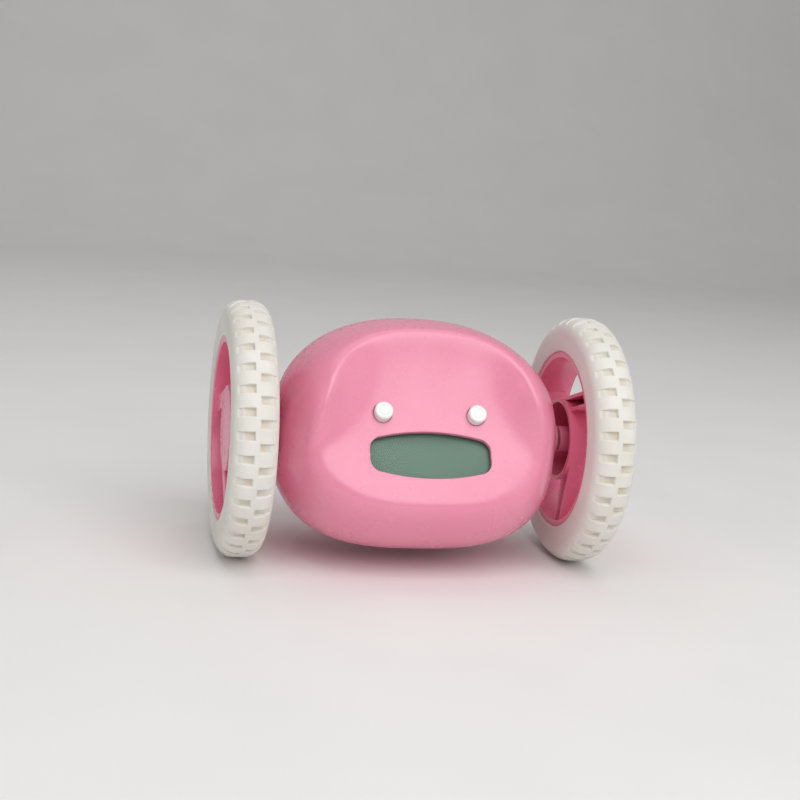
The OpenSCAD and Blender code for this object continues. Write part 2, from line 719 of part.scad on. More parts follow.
module cover_outline() {
    polygon([[-9, -16.5], [10, -16], [13.8, -13], [13.8, -8], [6, 15.4], [0, 15.4], [-16, 1], [-16.4, -6]]);
}
module gear_plate() {
    color("white") lifted()
    difference() {
        union() {
            translate([plate_in, 0, 0]) rotate([90, 0, 90]) linear_extrude(plate_wall) plate_outline();
            for (p = pillars) along_x(plate_in, p[0], p[1]) cylinder(h = cover_in - plate_in - 0.03, r = 1.5);
        }
        along_x(plate_in - 1, 0, 0) cylinder(h = 5, r = axle_radius + running);
        along_x(plate_in - 1, motor_at[0], motor_at[1]) cylinder(h = 5, r = 3.3);
        along_x(plate_in + 0.3, idler_at[0], idler_at[1]) cylinder(h = 5, r = 1);
    }
}
module gear_cover() {
    color("white") lifted()
    difference() {
        translate([cover_in, 0, 0]) rotate([90, 0, 90]) linear_extrude(plate_wall) cover_outline();
        along_x(cover_in - 1, 0, 0) cylinder(h = 5, r = axle_radius + running);
        along_x(cover_in - 1, idler_at[0], idler_at[1]) cylinder(h = 1 + 0.8, r = 1);
    }
}
module bush() {
    color("goldenrod") lifted() along_x(cover_in + plate_wall + 0.4, 0, 0)
    difference() {
        cylinder(h = boss_end + 0.2 - cover_in - plate_wall - 0.4, r = bush_radius);
        translate([0, 0, -1]) cylinder(h = 40, r = axle_radius + running);
    }
}
module axle() {
    color("gray") lifted() along_x(plate_in - 0.9, 0, 0)
    cylinder(h = wheel_in + tyre_width/2 + axle_seat - 0.1 - plate_in + 0.9, r = axle_radius);
}

// ---- the wheel
web_in = 3.9;                              // the web of a spoke, measured outward from the wheel's middle
web_out = 5.5;
axle_seat = 3.2;                           // how far outward of the middle the bore for the axle ends
module rim(way) {
    middle = wheel_in + tyre_width/2;
    half = tyre_width/2 - 0.5;
    bore = barrel_radius - barrel_wall;
    color("hotpink") lifted() along_x(middle, 0, 0)
    difference() {
        union() {
            rotate_extrude() polygon([[bore, -half], [flange_radius, -half], [flange_radius, 0.7 - half],
                [barrel_radius, 0.7 - half], [barrel_radius, half - 0.7], [flange_radius, half - 0.7],
                [flange_radius, half], [bore, half]]);
            // hub ring, its closed end and the boss around the axle
            rotate_extrude() polygon([[0, web_in], [hub_ring_radius - 1.6, web_in],
                [hub_ring_radius - 1.6, -half], [hub_ring_radius, -half], [hub_ring_radius, web_out],
                [0, web_out]]);
            translate([0, 0, -half]) cylinder(h = half + web_in + 0.5, r = 4.6);
            for (k = [0:spoke_count - 1])
                rotate(270 - spoke_turn + 360*k/spoke_count) spoke(half, way);
        }
        translate([0, 0, -20]) cylinder(h = 20 + axle_seat, r = axle_radius);
    }
}
// a channel, open inward: a web outside and two ribs behind it, off the side of the hub ring to the barrel
module spoke(half, way) {
    side = rib_half_gap + rib_wall/2;
    slot = rib_half_gap - rib_wall/2;
    difference() {
        intersection() {
            translate([hub_ring_radius - 0.3 - side, 0, 0]) rotate([90, 0, way > 0 ? 180 : 0])
            linear_extrude(barrel_radius)
                polygon([[-side, 1.2 - half], [-slot, 1.2 - half], [-slot, web_in], [slot, web_in],
                    [slot, 1.2 - half], [side, 1.2 - half], [side, web_out - 0.2], [-side, web_out - 0.2]]);
            translate([0, 0, -half]) cylinder(h = 2*half, r = barrel_radius - 0.6);
        }
        translate([0, 0, -half - 1]) cylinder(h = 2*half + 2, r = hub_ring_radius - 1);
    }
}
module tyre() {
    middle = wheel_in + tyre_width/2;
    half = tyre_width/2;
    drop = tyre_radius - shoulder_radius;
    wide = half - tread_half_width;
    color("ivory") lifted() along_x(middle, 0, 0)
    difference() {
        rotate_extrude() polygon(concat(
            [[barrel_radius + tiny, 1.25 - half], [flange_radius + tiny, 1.25 - half],
             [flange_radius + tiny, -half]],
            [for (i = [0:6]) let(q = 15*i)
                [shoulder_radius + drop*sin(q), -tread_half_width - wide*cos(q)]],
            [for (i = [6:-1:0]) let(q = 15*i)
                [shoulder_radius + drop*sin(q), tread_half_width + wide*cos(q)]],
            [[flange_radius + tiny, half], [flange_radius + tiny, half - 1.25],
             [barrel_radius + tiny, half - 1.25]]));
        for (k = [0:slot_count - 1]) {
            rotate(360*k/slot_count)
                translate([tyre_radius - slot_depth, -slot_width/2, centre_rib/2]) cube([10, slot_width, 12]);
            rotate(360*(k + 0.5)/slot_count)
                translate([tyre_radius - slot_depth, -slot_width/2, -12 - centre_rib/2]) cube([10, slot_width, 12]);
        }
    }
}
module left_motor() { mirror([1, 0, 0]) motor(); }
module right_motor() { motor(); }
module left_motor_shaft() { mirror([1, 0, 0]) motor_shaft(); }
module right_motor_shaft() { motor_shaft(); }
module left_pinion() { mirror([1, 0, 0]) pinion(); }
module right_pinion() { pinion(); }
module left_idler_pin() { mirror([1, 0, 0]) idler_pin(); }
module right_idler_pin() { idler_pin(); }
module left_idler_gear() { mirror([1, 0, 0]) idler_gear(); }
module right_idler_gear() { idler_gear(); }
module left_gear_plate() { mirror([1, 0, 0]) gear_plate(); }
module right_gear_plate() { gear_plate(); }
module left_gear_cover() { mirror([1, 0, 0]) gear_cover(); }
module right_gear_cover() { gear_cover(); }
module left_bush() { mirror([1, 0, 0]) bush(); }
module right_bush() { bush(); }
module left_axle() { mirror([1, 0, 0]) axle(); }
module right_axle() { axle(); }
module left_axle_gear() { mirror([1, 0, 0]) axle_gear(); }
module right_axle_gear() { axle_gear(); }
module left_rim() { mirror([1, 0, 0]) rim(-1); }
module right_rim() { rim(1); }
module left_tyre() { mirror([1, 0, 0]) tyre(); }
module right_tyre() { tyre(); }

front_shell();
rear_shell();
shell_screws();
display_window();
display_frame();
display_glass();
display_strip();
main_board();
board_parts();
eye_switches();
board_screws();
left_eye_button();
right_eye_button();
speaker();
battery_bay();
contact_plates();
contact_springs();
battery_1();
battery_2();
battery_3();
battery_4();
battery_door();
door_screw();
rear_board();
rear_switches();
set_button_1();
set_button_2();
set_button_3();
alarm_knob();
left_motor();
right_motor();
left_motor_shaft();
right_motor_shaft();
left_pinion();
right_pinion();
left_idler_pin();
right_idler_pin();
left_idler_gear();
right_idler_gear();
left_gear_plate();
right_gear_plate();
left_gear_cover();
right_gear_cover();
left_bush();
right_bush();
left_axle();
right_axle();
left_axle_gear();
right_axle_gear();
left_rim();
right_rim();
left_tyre();
right_tyre();
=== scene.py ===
# %% [markdown]
# # A runaway alarm clock
# The clock is a rounded, glossy casing that hangs between two big treaded wheels.
# The frame, with every solid at its real place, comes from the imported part. This
# lesson gives each visible piece its finish, and builds finer surfaces for the
# pieces that the eye lands on: the shells, the tyres, the rims and the eye buttons.

import math

import bmesh
import bpy
import numpy as np
from mathutils import Matrix


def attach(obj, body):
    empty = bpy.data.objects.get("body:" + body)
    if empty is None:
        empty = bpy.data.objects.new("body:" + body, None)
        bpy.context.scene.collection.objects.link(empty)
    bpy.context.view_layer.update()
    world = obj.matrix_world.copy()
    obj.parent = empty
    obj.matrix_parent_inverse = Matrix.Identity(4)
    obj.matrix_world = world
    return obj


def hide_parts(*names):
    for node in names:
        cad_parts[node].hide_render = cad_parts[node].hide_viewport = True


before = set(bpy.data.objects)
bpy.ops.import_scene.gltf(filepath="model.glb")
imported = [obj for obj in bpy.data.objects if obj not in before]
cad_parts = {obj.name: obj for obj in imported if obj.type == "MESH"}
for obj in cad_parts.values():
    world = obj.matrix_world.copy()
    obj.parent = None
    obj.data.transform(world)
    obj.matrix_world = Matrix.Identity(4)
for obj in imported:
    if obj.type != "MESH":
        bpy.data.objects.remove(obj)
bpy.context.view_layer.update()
MM = 0.001  # sizes are written in mm, and a mesh is in metres
AXLE = 44.5  # height of the axle, which is the radius of the tyre, in mm
MERGE = 1e-7  # points closer than this, in metres, are one point
print("nodes:", len(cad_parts))


# %% [markdown]
# ## The camera
# The photograph was taken a little from the left of the clock and from just above.
# Both tyres are known circles, so their outlines gave the camera's turn, height,
# roll, distance and lens. The picture's axis lies a little below its middle, which
# is what the small shift stands for.

# %% Camera at the photograph's angle
TURN, HEIGHT, ROLL = (math.radians(a) for a in (13.948, 12.0, 5.008))
DISTANCE, ASIDE, ABOVE = 503.062, -4.256, 7.281  # mm
LENS, SENSOR = 63.26, 36  # mm
PICTURE = 800  # width of the photograph in pixels
SHIFT_ASIDE, SHIFT_UP = -0.5, 13.5  # the lens's shift in pixels
NEAREST = 10  # mm, where the camera starts to see
flat_part = math.cos(HEIGHT)
forward = np.array([math.sin(TURN) * flat_part, math.cos(TURN) * flat_part, -math.sin(HEIGHT)])
level = np.array([math.cos(TURN), -math.sin(TURN), 0.0])
upright = np.cross(level, forward)
right = math.cos(ROLL) * level + math.sin(ROLL) * upright
upward = -math.sin(ROLL) * level + math.cos(ROLL) * upright
eye = -forward * DISTANCE + right * ASIDE + upward * ABOVE + np.array([0, 0, AXLE])
camera = bpy.data.objects.new("camera", bpy.data.cameras.new("camera"))
camera.data.lens = LENS
camera.data.sensor_width = SENSOR
camera.data.shift_x = SHIFT_ASIDE / PICTURE
camera.data.shift_y = SHIFT_UP / PICTURE
camera.data.clip_start = NEAREST * MM


def stand(holder, across, up, back, place):
    """Turn and place a camera or lamp by its three directions and its place in mm."""
    matrix = np.eye(4)
    matrix[:3] = np.stack([across, up, back, np.asarray(place) * MM], -1)
    holder.matrix_world = Matrix(matrix.tolist())
    bpy.context.scene.collection.objects.link(holder)


stand(camera, right, upward, -forward, eye)
bpy.context.scene.camera = camera
print("camera stands at", np.round(eye, 1), "mm")


# %% [markdown]
# ## Nodes and colours
# Every finish here is a small node tree. One function adds a node with its settings
# and links, and one turns a written sRGB colour into the linear one Blender needs.

# %% Small helpers for materials
def linear(code):
    """sRGB hex to linear: below 0.04045 a straight line, above it a power of 2.4."""
    s = np.array([int(code[i : i + 2], 16) for i in (1, 3, 5)]) / 255
    return (*np.where(s < 0.04045, s / 12.92, ((s + 0.055) / 1.055) ** 2.4), 1.0)


def add(material, kind, inputs=None, **settings):
    """Add one node; inputs maps a socket's name or index to a value or to another node's socket."""
    node = material.node_tree.nodes.new("ShaderNode" + kind)
    for name, value in settings.items():
        setattr(node, name, value)
    for name, value in (inputs or {}).items():
        if isinstance(value, bpy.types.NodeSocket):
            material.node_tree.links.new(value, node.inputs[name])
        else:
            node.inputs[name].default_value = value
    return node


def new_finish(name, **sockets):
    """A material with an empty tree but for its Principled shader and output."""
    material = bpy.data.materials.new(name)
    material.use_nodes = True
    material.node_tree.nodes.clear()
    shader = add(material, "BsdfPrincipled", {k.replace("_", " "): v for k, v in sockets.items()})
    add(material, "OutputMaterial", {"Surface": shader.outputs["BSDF"]})
    return material, shader


def object_place(material):
    """The socket of the point's own place on its object."""
    return add(material, "TexCoord").outputs["Object"]


def link_to(material, socket, shader, name):
    """Lead a socket into one of the shader's inputs."""
    material.node_tree.links.new(socket, shader.inputs[name])


def noise(material, size_mm, detail, stretch=(1, 1, 1)):
    """Noise in object space whose features are about size_mm across."""
    mapped = add(material, "Mapping", {"Vector": object_place(material), "Scale": stretch})
    sockets = {"Vector": mapped.outputs[0], "Scale": 1 / (size_mm * MM), "Detail": detail}
    return add(material, "TexNoise", sockets).outputs[0]


def spread(material, source, low, high, to_low, to_high):
    """Map a number from one span to another."""
    spans = {"From Min": low, "From Max": high, "To Min": to_low, "To Max": to_high}
    return add(material, "MapRange", {"Value": source, **spans}).outputs["Result"]


def mixed(material, amount, first, second):
    """Mix two colours by a number; each is a hex code or a socket."""
    amount_in, first_in, second_in, colour_out = 0, 6, 7, 2  # the sockets of a colour mix
    first, second = (linear(c) if isinstance(c, str) else c for c in (first, second))
    sockets = {amount_in: amount, first_in: first, second_in: second}
    return add(material, "Mix", sockets, data_type="RGBA").outputs[colour_out]


def bumped(material, shader, height, depth_mm, strength=1.0, edge_mm=0.0):
    """Give the shader a bump of a real depth, over edges that look rounded by edge_mm."""
    bump = add(material, "Bump", {"Height": height, "Distance": depth_mm * MM, "Strength": strength})
    if edge_mm:
        soft = add(material, "Bevel", {"Radius": edge_mm * MM}, samples=6)
        link_to(material, soft.outputs["Normal"], bump, "Normal")
    link_to(material, bump.outputs["Normal"], shader, "Normal")


# %% [markdown]
# ## The casing's plastic
# The casing is injection-moulded ABS, polished in the mould: a clean bubblegum pink
# under a hard gloss. The moulding leaves a very faint waviness, which makes the edges
# of reflections waver, and handling leaves the gloss a little uneven. Both come
# from wide, weak noise. There is no grain at all. The casing's edges are rounded by
# the mould, which the shading alone gives, over less than half a millimetre.

# %% Glossy pink ABS
WAVE = 0.02  # mm, depth of the waviness


def moulded_gloss(name, base, deep, roughness, edge_mm=0.0):
    """ABS polished in the mould: even colour, soft and faintly wavy reflections."""
    material, shader = new_finish(name, IOR=1.53, Specular_IOR_Level=0.55)
    cloud = noise(material, 30, 2)
    tint = mixed(material, spread(material, cloud, 0.35, 0.65, 0, 0.5), base, deep)
    link_to(material, tint, shader, "Base Color")
    smear = noise(material, 9, 3)
    gloss = spread(material, smear, 0.3, 0.7, roughness * 0.85, roughness * 1.3)
    link_to(material, gloss, shader, "Roughness")
    bumped(material, shader, noise(material, 14, 1), WAVE, 1.0, edge_mm)
    return material


pink_abs = moulded_gloss("glossy pink ABS", "#F094AF", "#ED8BA8", 0.24, edge_mm=0.45)
rim_abs = moulded_gloss("pink ABS of the rims", "#EF7FA0", "#EB7699", 0.24)
white_abs = moulded_gloss("white ABS of the buttons", "#F2F5F3", "#E9F0EC", 0.2)
print("plastics:", pink_abs.name, rim_abs.name, white_abs.name)


# %% [markdown]
# ## Rubber of the tyres
# The tyres are a soft thermoplastic rubber in off-white. It is matt, and its skin has
# a very fine grain. The slots' depth is kept on the mesh as an attribute, so a painted
# shade, darker and warmer, sits in the slots and nowhere else.

# %% Off-white rubber
tyre_rubber, shader = new_finish("off-white rubber", IOR=1.5, Specular_IOR_Level=0.35)
# painted shade: the deeper a slot, the darker and warmer the rubber's colour is painted
slot_shade_amount = add(tyre_rubber, "Attribute", attribute_name="slot").outputs["Fac"]
patchy = noise(tyre_rubber, 12, 3)
skin = mixed(tyre_rubber, spread(tyre_rubber, patchy, 0.35, 0.65, 0, 1), "#EAE8E1", "#E4E1D8")
slot_shaded_skin = mixed(tyre_rubber, spread(tyre_rubber, slot_shade_amount, 0, 1, 0, 0.6), skin, "#D8C9B6")
link_to(tyre_rubber, slot_shaded_skin, shader, "Base Color")
link_to(tyre_rubber, spread(tyre_rubber, patchy, 0.3, 0.7, 0.5, 0.66), shader, "Roughness")
# grain of the skin, 0.35 mm, the finest that still shows at this distance
bumped(tyre_rubber, shader, noise(tyre_rubber, 0.35, 2), 0.012, 0.5)
print("rubber:", tyre_rubber.name)


# %% [markdown]
# ## Display
# The display is a reflective liquid crystal behind a clear window. Switched off, it
# is a flat grey-green with a slight silver grain from the reflector behind the
# crystal. Its colour is also painted darker toward the top: painted shade for the frame's shadow.

# %% Display glass and window
# heights between which the painted shade darkens the display's colour
SHADE_FROM, SHADE_TO = 45.5, 48.5  # mm above the floor
lcd, shader = new_finish("reflective liquid crystal", IOR=1.5, Roughness=0.32, Specular_IOR_Level=0.4)
grain = noise(lcd, 0.4, 2)
tone = mixed(lcd, spread(lcd, grain, 0.35, 0.65, 0, 1), "#668D77", "#5E856F")
wide = noise(lcd, 22, 1)
tone = mixed(lcd, spread(lcd, wide, 0.35, 0.65, 0, 0.6), tone, "#6E957F")
height = add(lcd, "SeparateXYZ", {"Vector": object_place(lcd)}).outputs["Z"]
# painted shade: the glass's colour goes darker toward its top edge, standing in for the frame's shadow
shade = spread(lcd, height, SHADE_FROM * MM, SHADE_TO * MM, 0, 0.55)
link_to(lcd, mixed(lcd, shade, tone, "#3F5E4D"), shader, "Base Color")
bumped(lcd, shader, grain, 0.004, 0.4)
clear, shader = new_finish("clear acrylic sheet", IOR=1.49, Alpha=0.1, Specular_IOR_Level=0.5)
shader.inputs["Base Color"].default_value = linear("#5A6560")
scuffs = noise(clear, 5, 3)
link_to(clear, spread(clear, scuffs, 0.4, 0.7, 0.03, 0.09), shader, "Roughness")
print("display:", lcd.name, clear.name)


# %% [markdown]
# ## Metals, nylon, boards and cells
# These pieces show only through gaps, in the screw holes or with the battery door
# off, but each still gets what its process leaves: turning marks on shafts,
# plating cloud on the motor cans, milky nylon gears and copper lines under the green coat.

# %% Inner finishes
GRAIN = 0.4  # mm, of a spark-eroded mould
TRACKS = 3.2  # mm between the copper lines
WRAP_END = 20.6, 20.7  # mm from the cell's middle, where the wrap stops and the metal is bare


def metal(name, colour, roughness, turned_mm=0.0):
    """A plated or turned metal; turned_mm is the spacing of the turning marks along X."""
    material, shader = new_finish(name, Metallic=1.0)
    cloud = noise(material, 6, 3)
    shade = mixed(material, spread(material, cloud, 0.3, 0.7, 0, 0.5), colour, "#8F8F92")
    link_to(material, shade, shader, "Base Color")
    gloss = spread(material, cloud, 0.3, 0.7, roughness, roughness * 1.5)
    link_to(material, gloss, shader, "Roughness")
    if turned_mm:
        marks = noise(material, turned_mm, 1, stretch=(1, 0.05, 0.05))
        bumped(material, shader, marks, 0.01, 0.5)
    return material


def plain_plastic(name, colour, other, roughness):
    """Moulded plastic with a spark-eroded or natural surface."""
    material, shader = new_finish(name, IOR=1.5)
    cloud = noise(material, 10, 2)
    tint = mixed(material, spread(material, cloud, 0.3, 0.7, 0, 1), colour, other)
    link_to(material, tint, shader, "Base Color")
    gloss = spread(material, cloud, 0.3, 0.7, roughness, roughness * 1.25)
    link_to(material, gloss, shader, "Roughness")
    bumped(material, shader, noise(material, GRAIN, 2), 0.01, 0.6)
    return material


steel = metal("zinc-plated steel", "#C9CACD", 0.24, 0.15)
can = metal("nickel-plated motor can", "#BDBEC2", 0.3)
bronze = metal("turned bronze", "#C8A25E", 0.28, 0.2)
nylon = plain_plastic("natural nylon", "#EFEBDD", "#E6E1D0", 0.42)
dark = plain_plastic("black spark-eroded ABS", "#17181A", "#1D1E20", 0.5)
silicone = plain_plastic("pink contact rubber", "#D7939B", "#CC8A93", 0.6)
board, shader = new_finish("green solder resist", IOR=1.52, Roughness=0.3)
# the brick pattern's two bricks are the coat, and its joints are the copper lines under it
tilted = add(board, "Mapping", {"Vector": object_place(board), "Rotation": (0.6, 0, 0)})
coats = {"Color1": linear("#0E4A2A"), "Color2": linear("#0C4226"), "Mortar": linear("#2C7A4A")}
sizes = {"Scale": 1 / (TRACKS * MM), "Mortar Size": 0.06}
lines = add(board, "TexBrick", {"Vector": tilted.outputs[0], **coats, **sizes})
link_to(board, lines.outputs["Color"], shader, "Base Color")
bumped(board, shader, lines.outputs["Fac"], 0.03)
cell, shader = new_finish("shrink-wrapped cell", Roughness=0.3)
where = add(cell, "SeparateXYZ", {"Vector": object_place(cell)}).outputs["X"]
outward = add(cell, "Math", {0: where}, operation="ABSOLUTE").outputs[0]
bare = spread(cell, outward, WRAP_END[0] * MM, WRAP_END[1] * MM, 0, 1)
haze = noise(cell, 7, 2)
wrap = mixed(cell, spread(cell, haze, 0.3, 0.7, 0, 1), "#2B3A52", "#26344A")
link_to(cell, mixed(cell, bare, wrap, "#C8C9CC"), shader, "Base Color")
link_to(cell, bare, shader, "Metallic")
inner = (steel, can, bronze, nylon, dark, silicone, board, cell)
print("inner finishes:", ", ".join(m.name for m in inner))

# %% Finishes onto the CAD nodes
finish_of = {
    pink_abs: "front_shell rear_shell battery_door",
    rim_abs: "left_rim right_rim",
    tyre_rubber: "left_tyre right_tyre",
    white_abs: "left_eye_button right_eye_button set_button_1 set_button_2 set_button_3 alarm_knob",
    lcd: "display_glass",
    clear: "display_window",
    dark: "display_frame board_parts eye_switches rear_switches speaker battery_bay",
    silicone: "display_strip",
    board: "main_board rear_board",
    steel: "shell_screws board_screws door_screw contact_plates contact_springs "
    "left_axle right_axle left_idler_pin right_idler_pin left_motor_shaft right_motor_shaft",
    can: "left_motor right_motor",
    bronze: "left_bush right_bush",
    nylon: "left_pinion right_pinion left_idler_gear right_idler_gear left_axle_gear right_axle_gear "
    "left_gear_plate right_gear_plate left_gear_cover right_gear_cover",
    cell: "battery_1 battery_2 battery_3 battery_4",
}
dressed = set()
for material, names in finish_of.items():
    for name in names.split():
        node = bpy.data.objects[name]
        node.data.materials.clear()
        node.data.materials.append(material)
        dressed.add(name)
print("nodes without a finish:", sorted(set(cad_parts) - dressed))


# %% [markdown]
# ## Surfaces from arrays
# A surface here is a function of two parameters, worked out for the whole grid at
# once. These helpers turn such grids into meshes and join several into one piece.

# %% Grids to meshes
def grid_quads(rows, columns, wrap_rows=False, wrap_columns=False, start=0):
    """Quads between neighbours of a grid of rows by columns; wrapping joins the last to the first."""
    i = np.arange(rows if wrap_rows else rows - 1)[:, None]
    j = np.arange(columns if wrap_columns else columns - 1)[None, :]
    a = i * columns + j
    b = i * columns + (j + 1) % columns
    c = ((i + 1) % rows) * columns + (j + 1) % columns
    d = ((i + 1) % rows) * columns + j
    return np.stack([a, b, c, d], -1).reshape(-1, 4) + start


def mesh_of(name, points, quads=(), rest=()):
    """A mesh from points in mm, an array of quads and a list of other faces."""
    mesh = bpy.data.meshes.new(name)
    faces = [list(map(int, q)) for q in quads] + [list(map(int, f)) for f in rest]
    mesh.from_pydata((np.asarray(points, float) * MM).tolist(), [], faces)
    mesh.update()
    return mesh


def piece(name, mesh, material, body, *nodes):
    """An object at the origin that rides on a body and replaces CAD nodes."""
    made = bpy.data.objects.new(name, mesh)
    bpy.context.scene.collection.objects.link(made)
    mesh.materials.clear()
    mesh.materials.append(material)
    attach(made, body)
    if nodes:
        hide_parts(*nodes)
    print(f"{name}: {len(mesh.polygons)} faces, rides on {body}")


def outwards(mesh):
    """Merge doubles and turn all faces outwards."""
    work = bmesh.new()
    work.from_mesh(mesh)
    bmesh.ops.remove_doubles(work, verts=work.verts, dist=MERGE)
    bmesh.ops.recalc_face_normals(work, faces=work.faces)
    work.to_mesh(mesh)
    work.free()
    mesh.update()
    return mesh


# %% [markdown]
# ## The casing as a formula
# Seen from the front the casing is a superellipse, rounder above than below. Seen
# from the side it is another one. The face is scooped out of that egg by a second
# surface: an arc that leans back, curled forward at the sides of the upper half. A
# soft minimum of the two depths gives the face its rounded ridge.

# %% Casing formula
HALF_WIDTH, HALF_DEPTH, UP, DOWN = 50.3, 42.0, 40.5, 39.0  # mm from the axle
POWER_UP, POWER_DOWN, POWER_DEPTH = 2.3, 2.9, 2.5
FACE_RADIUS, FACE_FORWARD, FACE_UP = 92.7, 104.7, 52.4  # the arc and its centre
FACE_CURL, CURL_REACH, CURL_START, CURL_RISE = 8.0, 33.0, -5, 31
FACE_BLEND = 4.5  # how softly the face runs into the egg
LEAST_SPARE = 1  # mm from egg to face, below which the soft minimum isn't undone
TINY = 1e-6  # keeps a division from having nothing below it


def hollow(z):
    """Distance of the face in front of the axle at x = 0: an arc of a circle seen from the side."""
    return FACE_FORWARD - np.sqrt(np.maximum(0, FACE_RADIUS**2 - (z - FACE_UP) ** 2))


def curl(z):
    """How far the face's sides curl forward: nothing below, all of it above, by a smooth step."""
    q = np.clip((z - CURL_START) / CURL_RISE, 0, 1)
    return FACE_CURL * q * q * (3 - 2 * q)


def face_at(x, z):
    """The arc, plus the curl times the fourth power of x over its reach."""
    return hollow(z) + curl(z) * (x / CURL_REACH) ** 4


def half_outline(z):
    """The power and the height of the front outline, which differ above and below the axle."""
    return np.where(z < 0, POWER_DOWN, POWER_UP), np.where(z < 0, DOWN, UP)


def front_radius(x, z):
    """Share of the front outline: the n-th root of the sum of the n-th powers of both shares."""
    n, tall = half_outline(z)
    return (np.abs(x / HALF_WIDTH) ** n + np.abs(z / tall) ** n) ** (1 / n)


def egg_depth(x, z):
    """Depth of the plain egg: half depth times (1 - R^p)^(1/p), R the share of the outline."""
    radius = front_radius(x, z)
    return HALF_DEPTH * np.maximum(0, 1 - radius**POWER_DEPTH) ** (1 / POWER_DEPTH)


def soft_min(p, q):
    """Smaller of two numbers, rounded: half of their sum less the root of difference^2 + k^2."""
    return (p + q - np.sqrt((p - q) ** 2 + FACE_BLEND * FACE_BLEND)) / 2


def egg_side(x, y, z):
    """Depth of the egg at each point. In front the soft minimum is undone: d + k^2 / 4(f - d)."""
    spare = face_at(x, z) + y
    undone = -y + FACE_BLEND**2 / (4 * np.maximum(spare, LEAST_SPARE / 2))
    front = np.where(spare > LEAST_SPARE, undone, egg_depth(x, z))
    return np.clip(np.where(y < 0, front, np.abs(y)), 0, HALF_DEPTH)


def onto_casing(p, normal):
    """Points moved the last hundredths of a mm onto the casing, along y or, at its sides, radially."""
    x, y, z = p[:, 0], p[:, 1], p[:, 2]
    size = np.maximum(0, 1 - (egg_side(x, y, z) / HALF_DEPTH) ** POWER_DEPTH) ** (1 / POWER_DEPTH)
    grow = size / np.maximum(front_radius(x, z), TINY)
    egg = egg_depth(x, z)
    along = np.stack([x, np.where(y < 0, -soft_min(egg, face_at(x, z)), egg), z], -1)
    outward = np.stack([x * grow, y, z * grow], -1)
    return np.where((np.abs(normal[:, 1]) > 0.5)[:, None], along, outward)


def casing_normal(p):
    """Outward normal of the casing at points near its surface, from the slopes of its two formulas."""
    x, y, z = p[:, 0], p[:, 1], p[:, 2]
    n, tall = half_outline(z)
    ax, az = np.abs(x / HALF_WIDTH), np.abs(z / tall)
    inner = np.maximum(ax**n + az**n, TINY**2)
    lift = POWER_DEPTH * inner ** (POWER_DEPTH / n - 1)
    gx = lift * ax ** (n - 1) * np.sign(x) / HALF_WIDTH
    gz = lift * az ** (n - 1) * np.sign(z) / tall
    depth = egg_side(x, y, z)
    gy = POWER_DEPTH * (depth / HALF_DEPTH) ** (POWER_DEPTH - 1) / HALF_DEPTH
    past = depth - face_at(x, z)
    share = 0.5 * (1 - past / np.sqrt(past**2 + FACE_BLEND**2))  # how much of the egg shows here
    step = 0.01
    fx = (face_at(x + step, z) - face_at(x - step, z)) / (2 * step)
    fz = (face_at(x, z + step) - face_at(x, z - step)) / (2 * step)
    rest = (1 - share) * gy
    front = np.stack([share * gx - rest * fx, -gy, share * gz - rest * fz], -1)
    back = np.stack([gx, gy, gz], -1)
    normal = np.where((y < 0)[:, None], front, back)
    return normal / np.maximum(np.linalg.norm(normal, axis=1, keepdims=True), TINY**2)


for at_height in (-15, 0, 20, 38):
    print(f"face at z {at_height:4d}: {float(hollow(at_height)):.1f} mm in front of the axle")


# %% [markdown]
# ## The shells
# The CAD shells are exact where they are cut and pocketed, but their outside is made
# of flat facets a few millimetres wide. Each outer facet is split into small
# triangles, the new points go onto the formula, and every corner there takes the
# formula's own normal, so reflections run as over a moulded surface. Facets at a cut
# edge keep their place, so the edges stay closed.

# %% Shells with a smooth outside
NEAR = 0.25  # mm from the formula, past which a point isn't on the outside
FARTHEST = 0.3  # mm that a point may be moved
AGREES = 0.93  # least cosine between a facet and the formula's normal
SHARP = 28  # degrees between faces, from which an edge stays sharp
SPLIT = 4  # small triangles along each side of a facet
MERGE_SKIN = 2e-7  # as MERGE, for the points of neighbouring facets


def read(items, name, count, kind=float):
    """One property of a mesh's items as an array with count columns."""
    values = np.empty(len(items) * count, kind)
    items.foreach_get(name, values)
    return values.reshape(-1, count)


def split_triangles(corners, k):
    """Each triangle into k x k small ones. Points are whole shares of k of the three corners."""
    shares = np.array([(k - i - j, i, j) for i in range(k + 1) for j in range(k + 1 - i)]) / k
    at = {(i, j): i * (k + 1) - i * (i - 1) // 2 + j for i in range(k + 1) for j in range(k + 1 - i)}
    small = [(at[i, j], at[i + 1, j], at[i, j + 1]) for i in range(k) for j in range(k - i)]
    turned_over = [(i, j) for i in range(k - 1) for j in range(k - 1 - i)]
    small += [(at[i + 1, j], at[i + 1, j + 1], at[i, j + 1]) for i, j in turned_over]
    points = np.einsum("sc,ncd->nsd", shares, corners)
    faces = np.array(small)[None] + (np.arange(len(corners)) * len(shares))[:, None, None]
    return points, faces, shares


def triangles_of(node_name, name):
    """A merged copy of a CAD node in triangles: points in mm from the axle, faces and their normals."""
    work = bmesh.new()
    work.from_mesh(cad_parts[node_name].data)
    bmesh.ops.remove_doubles(work, verts=work.verts, dist=MERGE)
    bmesh.ops.triangulate(work, faces=work.faces)
    mesh = bpy.data.meshes.new(name)
    work.to_mesh(mesh)
    work.free()
    points = read(mesh.vertices, "co", 3) / MM - [0, 0, AXLE]
    faces = read(mesh.loops, "vertex_index", 1, np.int32).reshape(-1, 3)
    return points, faces, read(mesh.polygons, "normal", 3)


